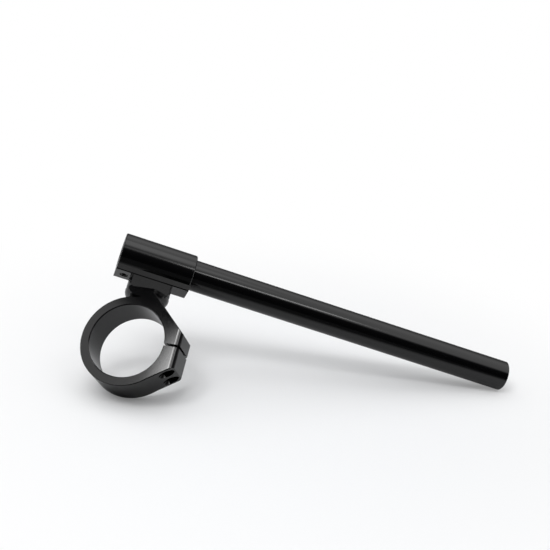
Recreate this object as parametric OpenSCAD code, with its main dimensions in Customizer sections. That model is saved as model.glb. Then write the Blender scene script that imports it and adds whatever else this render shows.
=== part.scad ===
// Clip-on handlebar for a motorcycle fork: a split clamp ring with a swivel seat on its rim,
// a bar holder that turns on that seat, and a straight bar tube pushed through the holder.
// Origin at the middle of the fork bore, +Z along the fork tube, +Y from the bore to the swivel
// seat, +X towards the outer end of the bar. Millimetres.

/* [Fork clamp] */
// Diameter of the fork tube bore
fork_bore_d = 52; // [49:0.5:54]
// Radial wall of the ring
ring_wall = 6.2; // [5:0.1:8]
// Length of the ring along the fork tube
ring_width = 25; // [22:0.5:30]
// Chamfer on the ring's outer edges
ring_edge = 0.5; // [0.3:0.1:1.2]
// Chamfer on the mouth of the fork bore
bore_edge = 0.6; // [0.3:0.1:1.2]

/* [Clamp lug] */
// Distance the lug stands out past the ring
lug_reach = 4.7; // [4:0.1:6]
// Direction in which the lug's upper flank faces, measured from +X
lug_upper_facing = 46.4; // [40:0.2:50]
// Distance between the upper flank and the tangent plane of the ring beside it
lug_upper_rise = 1.1; // [0.4:0.1:2]
// Direction in which the lug's lower flank faces, measured from +X
lug_lower_facing = 55; // [50:0.5:60]
// Radius on the lug's two upright outer edges
lug_corner_r = 3.5; // [2:0.5:5]
// Height of the split above the middle of the ring
split_y = 1.3; // [0:0.1:3]
// Width of the split
split_gap = 1.8; // [1:0.1:2.5]

/* [Pinch bolts] */
// Thread diameter of the two pinch bolts
pinch_d = 5; // [4:1:5]
// Distance between the two pinch bolts
pinch_pitch = 12; // [11:0.5:14]
// Length of a pinch bolt under its head
pinch_length = 18; // [16:1:19]
// Height of the seat under the bolt heads, below the middle of the ring
pinch_seat_y = 6.5; // [5:0.5:8]

/* [Swivel] */
// Diameter of the seat on the ring and of the boss under the holder
swivel_d = 31; // [28:0.5:32]
// Height of the seat above the ring's rim
seat_height = 7.2; // [6.5:0.1:9]
// Radius that rolls the rim of the seat in towards the ring
seat_round = 6; // [4:0.5:7]
// Radius that rolls the boss's lower edge in above the swivel face
boss_round = 1.5; // [1:0.5:4]
// Thread diameter of the swivel bolt
swivel_bolt_d = 8; // [6:1:8]
// Length of the swivel bolt under its head
swivel_length = 20; // [16:1:22]
// Angle by which the outer end of the bar is swung down
bar_drop = 26; // [-30:1:30]

/* [Bar holder] */
// Length of the holder along the bar
holder_length = 52; // [48:1:60]
// Radial wall of the holder's barrel
holder_wall = 2.95; // [2.5:0.05:4]
// Width of the flat foot under the barrel
foot_width = 16; // [14:0.5:18]
// Depth of the foot below the middle of the bar
foot_depth = 15.7; // [15.2:0.1:17]
// Distance from the swivel face to the foot's flat underside
boss_height = 8.8; // [8:0.1:10]
// Chamfer on the holder's edges
holder_edge = 0.6; // [0.3:0.1:1]
// Thread diameter of the screw that locks the tube
lock_screw_d = 6; // [4:1:8]
// Distance of the lock screw from the holder's inner end
lock_screw_inset = 6.5; // [5:0.5:7]

/* [Bar tube] */
// Outside diameter of the bar tube
bar_d = 22; // [20:0.1:24]
// Wall of the bar tube
bar_wall = 3; // [2:0.5:4]
// Length of the bar tube
bar_length = 297; // [240:1:340]
// Depth by which the tube is turned down where it sits in the holder
bar_step = 0.2; // [0.1:0.05:0.4]
// Chamfer on the ends of the tube
bar_edge = 0.7; // [0.3:0.1:1]

/* [Hidden] */
$fn = 96;

// Gap between a bolt and the hole that it only passes through
pass_gap = 0.25;
// Gap between the swivel bolt and the hole in the holder, which turns on it
turn_gap = 0.08;
// Gap left round a thread and round the tube in its holder
close_gap = 0.02;
// Extra length by which a cutter runs past what it cuts
past = 1;
// Steps in a rounded edge of a turned profile
round_steps = 6;

bore_r = fork_bore_d / 2;
ring_r = bore_r + ring_wall;
half_width = ring_width / 2;
lug_x = ring_r + lug_reach;
// Depth to which the lower flank sinks into the ring, so that the two cross at a clear angle
lug_sink = 0.2;
lug_lower_reach = ring_r - lug_sink;
lug_upper_reach = ring_r + lug_upper_rise;
swivel_face_y = ring_r + seat_height;
bar_r = bar_d / 2;
// Radius of the tube's turned stretch, which the holder grips
bar_seat_r = bar_r - bar_step;
barrel_r = bar_r + holder_wall;
seat_r = swivel_d / 2;
foot_y = swivel_face_y + boss_height;
bar_y = foot_y + foot_depth;
lock_screw_x = lock_screw_inset - holder_length / 2;

// Depth of the lug's web below the swivel face, which keeps it under the rim of the seat
web_depth = 1.4;
// Distance from the fork bore at which the seat's root starts inside the ring's wall
root_floor = 1;
// Depth to which the boss laps into the foot
boss_lap = 1;

// Pinch bolts: head and socket follow the thread, as on a socket cap screw
pinch_head_r = 0.85 * pinch_d;
pinch_head_gap = 0.3;
// Metal left between a counterbore and the fork bore
pinch_inner_wall = 1.05;
pinch_x = bore_r + pinch_inner_wall + pinch_head_gap + pinch_head_r;
pinch_socket = 0.8 * pinch_d;
// Room past the tip of a bolt in its blind threaded hole
tip_room = 0.8;

// Swivel bolt: its low head is sunk in the holder, just clear of the tube above it
swivel_head_r = 0.8125 * swivel_bolt_d;
swivel_head_h = 0.625 * swivel_bolt_d;
swivel_head_room = 0.4;
swivel_head_gap = 0.3;
swivel_socket = 0.625 * swivel_bolt_d;
swivel_seat_y = bar_y - bar_seat_r - swivel_head_room - swivel_head_h;
swivel_tip_y = swivel_seat_y - swivel_length;

// Lock screw: headless, its tip on the tube
lock_tip_y = bar_y - bar_seat_r;
lock_sunk = 0.5;

// A hexagonal socket, given its width across flats
module hex_socket(across, depth) {
    cylinder(h = depth, d = across / cos(30), $fn = 6);
}

// A socket cap screw along +Z: head below z = 0, thread above it
module cap_screw(thread_r, head_r, head_h, grip, socket) {
    edge = 0.12 * head_r;
    difference() {
        rotate_extrude()
            polygon([
                [0, -head_h], [head_r - edge, -head_h], [head_r, edge - head_h], [head_r, 0],
                [thread_r, 0], [thread_r, grip - edge], [thread_r - edge, grip], [0, grip]
            ]);
        translate([0, 0, -head_h - past])
            hex_socket(socket, 0.55 * head_h + past);
    }
}

// Everything on the swivel axis is drawn along +Z and then stood along +Y
module along_y(y = 0) {
    translate([0, y, 0]) rotate([-90, 0, 0]) children();
}

// Places a piece of the bar assembly: swung about the swivel axis
module swung() {
    rotate([0, bar_drop, 0]) children();
}

// A piece drawn along +Z is laid along the bar
module along_bar() {
    translate([0, bar_y, 0]) rotate([0, 90, 0]) children();
}

// Turned section of the ring: a rectangle with its four edges broken
module ring_section() {
    polygon([
        [bore_r, bore_edge - half_width], [bore_r + bore_edge, -half_width],
        [ring_r - ring_edge, -half_width], [ring_r, ring_edge - half_width],
        [ring_r, half_width - ring_edge], [ring_r - ring_edge, half_width],
        [bore_r + bore_edge, half_width], [bore_r, half_width - bore_edge]
    ]);
}

// Point of a flank above x, given the direction that it faces and its distance from the axis
function on_flank(facing, reach, x) = [x, (reach - x * cos(facing)) / sin(facing)];

// Outline of the lug seen along the fork tube: the lower flank runs into the ring, and the
// upper one goes on as a web under the swivel seat
module lug_outline() {
    mid_wall_r = bore_r + ring_wall / 2;
    // The upper flank runs on under the rim of the seat
    web_y = swivel_face_y - web_depth;
    web_x = (lug_upper_reach - web_y * sin(lug_upper_facing)) / cos(lug_upper_facing);
    difference() {
        polygon([
            [0, 0],
            [0, web_y],
            [web_x, web_y],
            on_flank(lug_upper_facing, lug_upper_reach, lug_x),
            on_flank(-lug_lower_facing, lug_lower_reach, lug_x),
            lug_lower_reach * [cos(-lug_lower_facing), sin(-lug_lower_facing)]
        ]);
        circle(r = mid_wall_r);
    }
}

// Breaks a flank's front and rear edges, a little steeper than the ring's own
module flank_bevel(facing, reach) {
    tilt = 38;
    inset = ring_edge * cos(tilt);
    rotate([0, 0, facing])
        for (end = [-1, 1])
            translate([reach, -2 * ring_r, end * half_width])
                rotate([0, -end * tilt, 0])
                    translate([-inset, 0, -2 * past]) cube([2 * past, 4 * ring_r, 4 * past]);
}

// Plan of the lug seen along +Y: a bar whose outer corners are rounded
module lug_plan() {
    corner = half_width - lug_corner_r;
    difference() {
        translate([0, -half_width]) square([lug_x, ring_width]);
        for (side = [-1, 1])
            difference() {
                translate([lug_x - lug_corner_r, side > 0 ? corner : -half_width - past])
                    square([lug_corner_r + past, lug_corner_r + past]);
                translate([lug_x - lug_corner_r, side * corner]) circle(r = lug_corner_r);
            }
    }
}

module lug() {
    difference() {
        intersection() {
            translate([0, 0, -half_width]) linear_extrude(ring_width) lug_outline();
            translate([0, 2 * ring_r, 0]) rotate([90, 0, 0]) linear_extrude(4 * ring_r) lug_plan();
        }
        flank_bevel(lug_upper_facing, lug_upper_reach);
        flank_bevel(-lug_lower_facing, lug_lower_reach);
    }
}

// Quarter round that rolls a turned edge inwards, from full radius down to the given height
function rolled_edge(r, y, round) = [
    for (i = [0 : round_steps])
        [r - round * (1 - cos(90 * i / round_steps)), y + round * (1 - sin(90 * i / round_steps))]
];

// Round seat on the ring's rim, milled flush with the ring's two faces
module swivel_seat() {
    top_edge = 0.5;
    seat_base = swivel_face_y - 2 * top_edge - seat_round;
    root_y = bore_r + root_floor;
    intersection() {
        along_y()
            rotate_extrude()
                polygon(concat(
                    [[0, root_y], [0, swivel_face_y], [seat_r - top_edge, swivel_face_y],
                     [seat_r, swivel_face_y - top_edge]],
                    rolled_edge(seat_r, seat_base, seat_round),
                    [[seat_r - seat_round, root_y]]
                ));
        translate([-seat_r - past, 0, -half_width])
            cube([2 * (seat_r + past), swivel_face_y + past, ring_width]);
    }
}

module clamp_ring() {
    color([0.13, 0.13, 0.14])
    difference() {
        union() {
            rotate_extrude() ring_section();
            lug();
            swivel_seat();
        }
        // Fork bore through the lug and the seat
        cylinder(r = bore_r, h = ring_width + 2 * past, center = true);
        // Split
        translate([bore_r - 2 * past, split_y - split_gap / 2, -half_width - past])
            cube([lug_x - bore_r + 3 * past, split_gap, ring_width + 2 * past]);
        for (side = [-1, 1])
            translate([0, 0, side * pinch_pitch / 2]) pinch_hole();
        // Blind threaded hole for the swivel bolt
        along_y(swivel_tip_y - tip_room)
            cylinder(r = swivel_bolt_d / 2 + close_gap, h = swivel_face_y - swivel_tip_y + 2 * past);
    }
}

// Pinch bolt hole: counterbore from below, clear hole to the split, threaded hole above it
module pinch_hole() {
    thread_end = pinch_length - pinch_seat_y + tip_room;
    translate([pinch_x, 0, 0]) {
        along_y(-ring_r)
            cylinder(r = pinch_head_r + pinch_head_gap, h = ring_r - pinch_seat_y);
        along_y(-pinch_seat_y - past)
            cylinder(r = pinch_d / 2 + pass_gap, h = pinch_seat_y + split_y + past);
        along_y(split_y)
            cylinder(r = pinch_d / 2 + close_gap, h = thread_end - split_y);
    }
}

module pinch_bolt(side) {
    color([0.1, 0.1, 0.1])
        translate([pinch_x, 0, side * pinch_pitch / 2])
            along_y(-pinch_seat_y)
                cap_screw(pinch_d / 2, pinch_head_r, pinch_d, pinch_length, pinch_socket);
}

module pinch_bolt_front() {
    pinch_bolt(1);
}

module pinch_bolt_rear() {
    pinch_bolt(-1);
}

// Head up in the holder, thread down in the ring
module swivel_bolt() {
    color([0.1, 0.1, 0.1])
        translate([0, swivel_seat_y, 0])
            rotate([90, 0, 0])
                cap_screw(swivel_bolt_d / 2, swivel_head_r, swivel_head_h,
                    swivel_length, swivel_socket);
}

// End view of the holder's foot, drawn downwards from the middle of the bar
module foot_outline() {
    half = foot_width / 2;
    polygon([
        [-half, 0], [-half, holder_edge - foot_depth], [holder_edge - half, -foot_depth],
        [half - holder_edge, -foot_depth], [half, holder_edge - foot_depth], [half, 0]
    ]);
}

// Round boss under the foot, milled flush with the foot's two sides
module swivel_boss() {
    bottom_edge = 0.5;
    boss_r = seat_r - 0.2;
    flat = foot_width / 2 - holder_edge;
    intersection() {
        along_y()
            rotate_extrude()
                polygon(concat(
                    [[0, foot_y + boss_lap], [boss_r, foot_y + boss_lap]],
                    rolled_edge(boss_r, swivel_face_y + bottom_edge, boss_round),
                    [[boss_r - boss_round, swivel_face_y], [0, swivel_face_y]]
                ));
        translate([-boss_r - past, swivel_face_y, -flat])
            cube([2 * (boss_r + past), boss_height + past / 2, 2 * flat]);
    }
}

module bar_holder() {
    half = holder_length / 2;
    color([0.14, 0.14, 0.15])
    swung()
    difference() {
        union() {
            along_bar()
                rotate_extrude()
                    polygon([
                        [0, -half], [barrel_r - holder_edge, -half], [barrel_r, holder_edge - half],
                        [barrel_r, half - holder_edge], [barrel_r - holder_edge, half], [0, half]
                    ]);
            translate([-half, bar_y, 0])
                rotate([0, 90, 0]) linear_extrude(holder_length) foot_outline();
            swivel_boss();
        }
        along_bar()
            cylinder(r = bar_seat_r + close_gap, h = holder_length + 2 * past, center = true);
        // Hole that turns on the swivel bolt, and the seat for its head
        along_y(swivel_face_y - past)
            cylinder(r = swivel_bolt_d / 2 + turn_gap, h = bar_y - swivel_face_y);
        along_y(swivel_seat_y)
            cylinder(r = swivel_head_r + swivel_head_gap, h = bar_y - swivel_seat_y);
        translate([lock_screw_x, 0, 0])
            along_y(swivel_face_y - past)
                cylinder(r = lock_screw_d / 2 + close_gap, h = bar_y - swivel_face_y);
    }
}

module tube_lock_screw() {
    length = lock_tip_y - foot_y - lock_sunk;
    edge = 0.4;
    r = lock_screw_d / 2;
    color([0.1, 0.1, 0.1])
    swung()
    translate([lock_screw_x, 0, 0])
    along_y(foot_y + lock_sunk)
    difference() {
        rotate_extrude()
            polygon([
                [0, 0], [r - edge, 0], [r, edge], [r, length - 2 * edge],
                [r - 2 * edge, length], [0, length]
            ]);
        translate([0, 0, -past]) hex_socket(lock_screw_d / 2, 0.5 * length + past);
    }
}

// The stretch inside the holder is turned down, and its shoulder stops at the holder's mouth
module bar_tube() {
    inner_r = bar_r - bar_wall;
    shoulder = holder_length + close_gap;
    color([0.16, 0.16, 0.17])
        swung()
            along_bar()
                translate([0, 0, -holder_length / 2])
                    rotate_extrude()
                        polygon([
                            [inner_r + bar_edge, 0], [bar_seat_r - bar_edge, 0],
                            [bar_seat_r, bar_edge], [bar_seat_r, shoulder], [bar_r, shoulder],
                            [bar_r, bar_length - bar_edge], [bar_r - bar_edge, bar_length],
                            [inner_r + bar_edge, bar_length], [inner_r, bar_length - bar_edge],
                            [inner_r, bar_edge]
                        ]);
}

clamp_ring();
pinch_bolt_front();
pinch_bolt_rear();
swivel_bolt();
bar_holder();
tube_lock_screw();
bar_tube();
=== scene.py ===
"""Looks of a clip-on handlebar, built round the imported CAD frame: black anodised finishes, black
oxide screws, a pale floor, soft studio light and the camera."""
import math

import bpy
from mathutils import Matrix, Vector

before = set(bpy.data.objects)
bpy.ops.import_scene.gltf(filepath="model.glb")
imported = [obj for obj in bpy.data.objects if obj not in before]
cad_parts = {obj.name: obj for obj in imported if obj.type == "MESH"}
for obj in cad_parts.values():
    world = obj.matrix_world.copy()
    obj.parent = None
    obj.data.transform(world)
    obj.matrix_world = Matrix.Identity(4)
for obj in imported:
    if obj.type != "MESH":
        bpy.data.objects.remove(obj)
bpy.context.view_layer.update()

MM = 0.001
scene = bpy.context.scene

# The bar slopes down by this angle from the ring's faces, and its finish runs along it
BAR_DROP = math.radians(26)


# ---------------------------------------------------------------- node helpers
class Nodes:
    """A small wrapper that adds and links the nodes of one material or world."""

    def __init__(self, tree):
        self.tree = tree
        tree.nodes.clear()

    def add(self, kind, **settings):
        node = self.tree.nodes.new(kind)
        for name, value in settings.items():
            setattr(node, name, value)
        return node

    def link(self, source, target):
        self.tree.links.new(source, target)

    def math(self, operation, *values):
        """Maths on outputs and plain numbers alike."""
        node = self.add("ShaderNodeMath", operation=operation)
        for i, value in enumerate(values):
            if isinstance(value, (int, float)):
                node.inputs[i].default_value = value
            else:
                self.link(value, node.inputs[i])
        return node.outputs[0]

    def ramp(self, value, low, high, out_low, out_high):
        """Smooth step from out_low to out_high as the value goes from low to high."""
        node = self.add("ShaderNodeMapRange", interpolation_type="SMOOTHSTEP")
        self.link(value, node.inputs["Value"])
        node.inputs["From Min"].default_value = low
        node.inputs["From Max"].default_value = high
        node.inputs["To Min"].default_value = out_low
        node.inputs["To Max"].default_value = out_high
        return node.outputs["Result"]

    def dot(self, vector, constant):
        node = self.add("ShaderNodeVectorMath", operation="DOT_PRODUCT")
        self.link(vector, node.inputs[0])
        node.inputs[1].default_value = constant
        return node.outputs["Value"]

    def object_place(self):
        return self.add("ShaderNodeTexCoord").outputs["Object"]

    def noise(self, vector, scale, detail=2.0, roughness=0.5):
        node = self.add("ShaderNodeTexNoise")
        self.link(vector, node.inputs["Vector"])
        node.inputs["Scale"].default_value = scale
        node.inputs["Detail"].default_value = detail
        node.inputs["Roughness"].default_value = roughness
        return node.outputs["Fac"]

    def mapped(self, vector, scale, turn_y=0.0):
        node = self.add("ShaderNodeMapping")
        self.link(vector, node.inputs["Vector"])
        node.inputs["Rotation"].default_value = (0, turn_y, 0)
        node.inputs["Scale"].default_value = scale
        return node.outputs["Vector"]

    def xyz(self, vector):
        node = self.add("ShaderNodeSeparateXYZ")
        self.link(vector, node.inputs[0])
        return node.outputs

    def mix_colour(self, factor, dark, light):
        node = self.add("ShaderNodeMix", data_type="RGBA")
        self.link(factor, node.inputs[0])
        node.inputs[6].default_value = (*dark, 1)
        node.inputs[7].default_value = (*light, 1)
        return node.outputs[2]

    def mix_shader(self, factor, first, second):
        node = self.add("ShaderNodeMixShader")
        for source, target in zip((factor, first.outputs[0], second.outputs[0]), node.inputs):
            self.link(source, target)
        return node

    def seen_straight(self):
        """1 for rays from the camera and through anything clear, 0 for light and gloss."""
        path = self.add("ShaderNodeLightPath").outputs
        return self.math("MAXIMUM", path["Is Camera Ray"], path["Is Transmission Ray"])

    def bump(self, height, strength, depth, normal=None):
        node = self.add("ShaderNodeBump")
        node.inputs["Strength"].default_value = strength
        node.inputs["Distance"].default_value = depth
        self.link(height, node.inputs["Height"])
        if normal is not None:
            self.link(normal, node.inputs["Normal"])
        return node.outputs["Normal"]


def new_material(name):
    material = bpy.data.materials.new(name)
    material.use_nodes = True
    return material, Nodes(material.node_tree)


def finish_material(n, colour, roughness, normal, **constants):
    shader = n.add("ShaderNodeBsdfPrincipled")
    n.link(colour, shader.inputs["Base Color"])
    n.link(roughness, shader.inputs["Roughness"])
    n.link(normal, shader.inputs["Normal"])
    for name, value in constants.items():
        shader.inputs[name].default_value = value
    n.link(shader.outputs[0], n.add("ShaderNodeOutputMaterial").inputs["Surface"])


# ------------------------------------------------------------------- materials
# Nearly all that shows of the black anodising is its gloss
BLACK = (0.0018, 0.0018, 0.0021)
ANODISE_IOR = 1.58
OXIDE_IOR = 1.6
OXIDE_METALLIC = 0.6

# Noise scales of the finishes, per metre
BAR_CLOUD, RING_CLOUD, OXIDE_CLOUD = 55.0, 60.0, 900.0
BLAST_GRAIN, OXIDE_GRAIN = 5200.0, 3800.0
TURNED_LINES = 2600

# Depths of the bump, in metres
DRAWN_DEPTH, TURNED_DEPTH, BLAST_DEPTH, OXIDE_DEPTH = 0.05 * MM, 0.03 * MM, 0.02 * MM, 0.03 * MM


def machine_lines(n, lined):
    return n.noise(lined, 1.0, 3.0, 0.6)


def anodised(n, lines, line_bump, cloud_scale, cloud_share, line_share, roughness):
    """Black anodised aluminium: its machined lines, a cloudy dye and a fine blasted grain.
    The roughness varies by the two shares round its mean."""
    place = n.object_place()
    cloud = n.noise(place, cloud_scale, 3.0, 0.55)
    grain = n.noise(place, BLAST_GRAIN, 2.0, 0.6)
    colour = n.mix_colour(cloud, *(tuple(share * c for c in BLACK) for share in (0.75, 1.3)))
    uneven = n.math("ADD", n.math("MULTIPLY", cloud, cloud_share),
                    n.math("MULTIPLY", lines, line_share))
    mean = (cloud_share + line_share) / 2
    normal = n.bump(grain, 0.05, BLAST_DEPTH, n.bump(lines, *line_bump))
    finish_material(n, colour, n.math("ADD", uneven, roughness - mean), normal, IOR=ANODISE_IOR)


def along_bar(name, stretch, line_strength, roughness):
    """Extruded or drawn piece of the bar, with faint lines along it where stretch is small."""
    material, n = new_material(name)
    lines = machine_lines(n, n.mapped(n.object_place(), stretch, -BAR_DROP))
    anodised(n, lines, (line_strength, DRAWN_DEPTH), BAR_CLOUD, 0.06, 0.07, roughness)
    return material


def turned(name, roughness):
    """Turned ring: fine rings on its two faces and fine lines round bore and rim."""
    material, n = new_material(name)
    x, y, z = n.xyz(n.object_place())
    radius = n.math("SQRT", n.math("ADD", n.math("MULTIPLY", x, x), n.math("MULTIPLY", y, y)))
    profile = n.add("ShaderNodeCombineXYZ")
    n.link(radius, profile.inputs["X"])
    n.link(z, profile.inputs["Z"])
    lines = machine_lines(n, n.mapped(profile.outputs[0], (TURNED_LINES, 1, TURNED_LINES)))
    anodised(n, lines, (0.03, TURNED_DEPTH), RING_CLOUD, 0.04, 0.04, roughness)
    return material


def black_oxide(name, dark, light, roughness):
    """Screw steel: mottled by its oxide, with a fine grain."""
    material, n = new_material(name)
    place = n.object_place()
    cloud = n.noise(place, OXIDE_CLOUD, 4.0, 0.6)
    grain = n.noise(place, OXIDE_GRAIN, 2.0, 0.6)
    colour = n.mix_colour(cloud, dark, light)
    uneven = n.math("ADD", n.math("MULTIPLY", cloud, 0.18), roughness - 0.09)
    finish_material(n, colour, uneven, n.bump(grain, 0.10, OXIDE_DEPTH),
                    Metallic=OXIDE_METALLIC, IOR=OXIDE_IOR)
    return material


FINISHES = (
    (turned("black_anodised_turned", 0.055), ("clamp_ring",)),
    (along_bar("black_anodised_extruded", (7, 900, 900), 0.08, 0.11), ("bar_holder",)),
    (along_bar("black_anodised_drawn", (4, 700, 700), 0.12, 0.115), ("bar_tube",)),
    (black_oxide("black_oxide", (0.012, 0.012, 0.012), (0.035, 0.034, 0.032), 0.36),
     ("pinch_bolt_front", "pinch_bolt_rear", "swivel_bolt", "tube_lock_screw")),
)
for finish, names in FINISHES:
    for name in names:
        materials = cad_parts[name].data.materials
        materials.clear()
        materials.append(finish)


# ------------------------------------------------------------ camera and directions
# Fitted to the photo's edges, in the CAD's frame
CAMERA_AT = Vector((251.075, -212.317, 617.323)) * MM
CAMERA_RIGHT = Vector((0.962763, 0.218516, -0.15918))
CAMERA_DOWN = Vector((0.129563, -0.889718, -0.437739))
CAMERA_AHEAD = Vector((-0.237278, 0.400815, -0.884899))
LENS = 66.7936
SENSOR = 36

# The object stands on the rear edge of its ring and on the outer end of the bar. UP is square to
# that floor, which passes at FLOOR_DEPTH below the fork bore's middle
UP = Vector((0.081, 0.695, 0.714)).normalized()
FLOOR_DEPTH = 31.10 * MM
MIDDLE = Vector((0.11, 0.03, -0.03))
AHEAD = (CAMERA_AHEAD - CAMERA_AHEAD.dot(UP) * UP).normalized()
RIGHT = AHEAD.cross(UP)


def basis(x, y, z, at):
    turn = Matrix((x, y, z)).transposed().to_4x4()
    return Matrix.Translation(at) @ turn


def toward(azimuth, elevation):
    """Direction from the object, with azimuth 0 straight away from the camera, to the right."""
    a, e = math.radians(azimuth), math.radians(elevation)
    return (AHEAD * math.cos(a) + RIGHT * math.sin(a)) * math.cos(e) + UP * math.sin(e)


view = bpy.data.cameras.new("camera")
view.sensor_width = SENSOR
view.lens = LENS
view.clip_start = 10 * MM
camera = bpy.data.objects.new("camera", view)
camera.matrix_world = basis(CAMERA_RIGHT, -CAMERA_DOWN, -CAMERA_AHEAD, CAMERA_AT)
scene.collection.objects.link(camera)
scene.camera = camera
scene.view_settings.view_transform = "Standard"


# ---------------------------------------------------------------------- light
def softbox(name, azimuth, elevation, distance, width, height, radiance, mirrored=True):
    """Soft lamp that faces the object; radiance 1 is as bright as the white background."""
    lamp = bpy.data.lights.new(name, "AREA")
    lamp.shape = "RECTANGLE"
    lamp.size, lamp.size_y = width, height
    lamp.energy = radiance * math.pi * width * height
    away = toward(azimuth, elevation)
    side = UP.cross(away).normalized()
    stand = bpy.data.objects.new(name, lamp)
    stand.matrix_world = basis(side, away.cross(side), away, MIDDLE + away * distance)
    stand.visible_camera = False
    stand.visible_glossy = mirrored
    scene.collection.objects.link(stand)


softbox("left_key", -152, 58, 1.2, 0.6, 0.6, 4.2)
softbox("strip", 136, 55, 1.1, 0.4, 0.10, 3.4)
softbox("back", -15, 62, 1.4, 1.5, 1.5, 0.5, mirrored=False)

# The walls' brightness, from one sine of the elevation to another: it rises from dark low down,
# and then falls a little overhead
WALLS_RISE = (0.25, 0.95, 0.15, 1.25)
WALLS_FALL = (0.70, 0.95, 1.0, 0.75)

# What the gloss mirrors on these walls: azimuth, elevation, the angles at which the patch is
# full and gone, all in degrees, and its brightness as a share of the wall's
PATCHES = (
    (165, 2, 43, 57, 0.03),       # the dark room behind the camera
    (90, 84, 13, 21, 1.7),        # the ceiling, in the top of the holder
    (100, 30, 8, 18, 0.15),       # a gap at the right, in the chamfer of the bore
    (-113.5, 61, 5.3, 6.3, 0.0),  # dark, in the top of the ring's face
    (-134, 57, 5.6, 6.9, 10.0),   # bright, in the face of the lug
    (142, 61, 2, 7, 0.5),         # dim, in the side of the holder's foot
)


def make_world():
    world = bpy.data.worlds.new("studio")
    world.use_nodes = True
    n = Nodes(world.node_tree)
    direction = n.add("ShaderNodeTexCoord").outputs["Generated"]
    height = n.dot(direction, UP)
    studio = n.math("MULTIPLY", n.ramp(height, *WALLS_RISE), n.ramp(height, *WALLS_FALL))
    for azimuth, elevation, full, gone, share in PATCHES:
        nearness = n.dot(direction, toward(azimuth, elevation))
        edges = (math.cos(math.radians(gone)), math.cos(math.radians(full)))
        studio = n.math("MULTIPLY", studio, n.ramp(nearness, *edges, 1.0, share))
    dim, white = (n.add("ShaderNodeBackground") for _ in range(2))
    for background in (dim, white):
        background.inputs["Color"].default_value = (1, 1, 1, 1)
    n.link(studio, dim.inputs["Strength"])
    white.inputs["Strength"].default_value = 1.0
    seen = n.mix_shader(n.seen_straight(), dim, white)
    n.link(seen.outputs[0], n.add("ShaderNodeOutputWorld").inputs["Surface"])
    scene.world = world


make_world()


# ---------------------------------------------------------------------- floor
FLOOR_HALF = 4.0  # half its side, in metres
FLOOR_SEEN = 0.81
FLOOR_TINTS = (("Red", 0.975), ("Green", 0.985), ("Blue", 1.0))
FLOOR_GRAIN_SCALE, FLOOR_GRAIN = 900.0, 0.04

# Painted shade: light and gloss meet a darker sheet, darkest towards the camera, where it stands in
# for the shade that the black gloss mirrors. The step lies between two distances from MIDDLE, and
# runs slightly askew
PAINTED_SHADE_SKEW = -0.2
PAINTED_SHADE_EDGE = (-0.103, -0.013, 0.05, 0.51)

# Between these two distances from MIDDLE the sheet fades into the white background
FADE = (0.06, 0.34, 0.0, 1.0)
FADE_LEAST = 0.03


def make_floor():
    mesh = bpy.data.meshes.new("floor")
    corners = [(x * FLOOR_HALF, y * FLOOR_HALF, 0) for x, y in ((-1, -1), (1, -1), (1, 1), (-1, 1))]
    mesh.from_pydata(corners, [], [(0, 1, 2, 3)])
    floor = bpy.data.objects.new("floor", mesh)
    at = MIDDLE - UP * (MIDDLE.dot(UP) + FLOOR_DEPTH)
    floor.matrix_world = basis(RIGHT, AHEAD, UP, at)
    scene.collection.objects.link(floor)

    material, n = new_material("floor_paper")
    place = n.object_place()
    seen = n.seen_straight()
    across, ahead, _ = n.xyz(place)
    # Painted shade: for light and gloss the sheet's tone darkens towards the camera, standing in
    # for shade
    painted_shade = n.ramp(n.math("MULTIPLY_ADD", across, PAINTED_SHADE_SKEW, ahead), *PAINTED_SHADE_EDGE)
    tone = n.math("ADD", n.math("MULTIPLY", n.math("SUBTRACT", 1.0, seen), painted_shade),
                  n.math("MULTIPLY", seen, FLOOR_SEEN))
    grain = n.math("MULTIPLY_ADD", n.noise(place, FLOOR_GRAIN_SCALE), FLOOR_GRAIN, -FLOOR_GRAIN / 2)
    shade = n.add("ShaderNodeCombineColor")
    for channel, tint in FLOOR_TINTS:
        n.link(n.math("MULTIPLY", n.math("ADD", tone, grain), tint), shade.inputs[channel])
    paper = n.add("ShaderNodeBsdfDiffuse")
    n.link(shade.outputs[0], paper.inputs["Color"])

    distance = n.add("ShaderNodeVectorMath", operation="LENGTH")
    n.link(place, distance.inputs[0])
    far = n.ramp(distance.outputs["Value"], *FADE)
    far = n.math("MULTIPLY_ADD", far, 1 - FADE_LEAST, FADE_LEAST)
    glow = n.add("ShaderNodeEmission")
    glow.inputs["Strength"].default_value = 1.0
    above = n.mix_shader(n.math("MULTIPLY", seen, far), paper, glow)

    # The sheet shows only from above, so that views from below still see the object
    backfacing = n.add("ShaderNodeNewGeometry").outputs["Backfacing"]
    sheet = n.mix_shader(backfacing, above, n.add("ShaderNodeBsdfTransparent"))
    n.link(sheet.outputs[0], n.add("ShaderNodeOutputMaterial").inputs["Surface"])
    mesh.materials.append(material)


make_floor()
